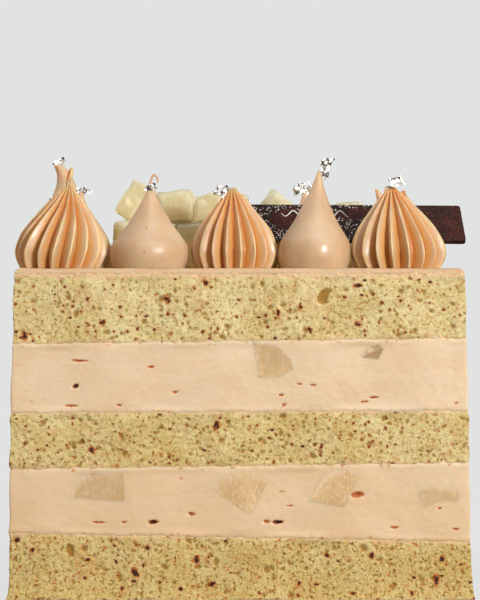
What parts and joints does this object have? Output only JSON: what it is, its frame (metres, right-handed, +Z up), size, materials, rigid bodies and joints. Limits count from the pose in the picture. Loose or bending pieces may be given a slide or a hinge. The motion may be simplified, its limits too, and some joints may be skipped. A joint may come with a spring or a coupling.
{
  "type": "chiffon cake",
  "caption": "Square layered chiffon cake: tea-flecked sponge and peach cream with cut pear, topped with piped stars and drops, diced pear and a chocolate plaque.",
  "frame": {"origin": "centre of the cake's foot, on the surface that it stands on", "axes": "+Z up, -Y out of the front that the picture shows, +X to the right of that front"},
  "size_m": [0.1354, 0.1348, 0.1297],
  "materials": {
    "sponge": "open-pored chiffon sponge with dark tea flecks",
    "cream": "smooth peach cream, cut with a knife",
    "piping": "piped peach cream with a soft sheen",
    "pear": "wet, slightly clear diced pear",
    "chocolate": "dark chocolate with a fine grain",
    "silver_leaf": "crumpled edible silver leaf"
  },
  "bodies": {
    "root": {"sponge_bottom": "sponge", "cream_lower": "cream", "sponge_middle": "sponge", "cream_upper": "cream", "sponge_top": "sponge", "cream_top": "cream", "pear_front_1": "pear", "pear_front_2": "pear", "pear_front_3": "pear", "pear_front_4": "pear", "pear_front_5": "pear", "pear_front_6": "pear", "pear_right_1": "pear", "pear_right_2": "pear", "pear_right_3": "pear", "pear_right_4": "pear", "pear_back_1": "pear", "pear_back_2": "pear", "pear_back_3": "pear", "pear_back_4": "pear", "pear_back_5": "pear", "pear_left_1": "pear", "pear_left_2": "pear", "pear_left_3": "pear", "pear_left_4": "pear", "star_1": "piping", "star_2": "piping", "star_3": "piping", "star_4": "piping", "star_5": "piping", "star_6": "piping", "star_7": "piping", "star_8": "piping", "drop_1": "piping", "drop_2": "piping", "drop_3": "piping", "drop_4": "piping", "drop_5": "piping", "drop_6": "piping", "drop_7": "piping", "drop_8": "piping", "chocolate_plaque": "chocolate", "pear_top_1": "pear", "pear_top_2": "pear", "pear_top_3": "pear", "pear_top_4": "pear", "pear_top_5": "pear", "pear_top_6": "pear", "pear_top_7": "pear", "pear_top_8": "pear", "pear_top_9": "pear", "pear_top_10": "pear", "pear_top_11": "pear", "pear_top_12": "pear", "pear_top_13": "pear", "pear_top_14": "pear", "pear_top_15": "pear", "pear_top_16": "pear", "pear_top_17": "pear", "pear_top_18": "pear"}
  },
  "joints": []
}
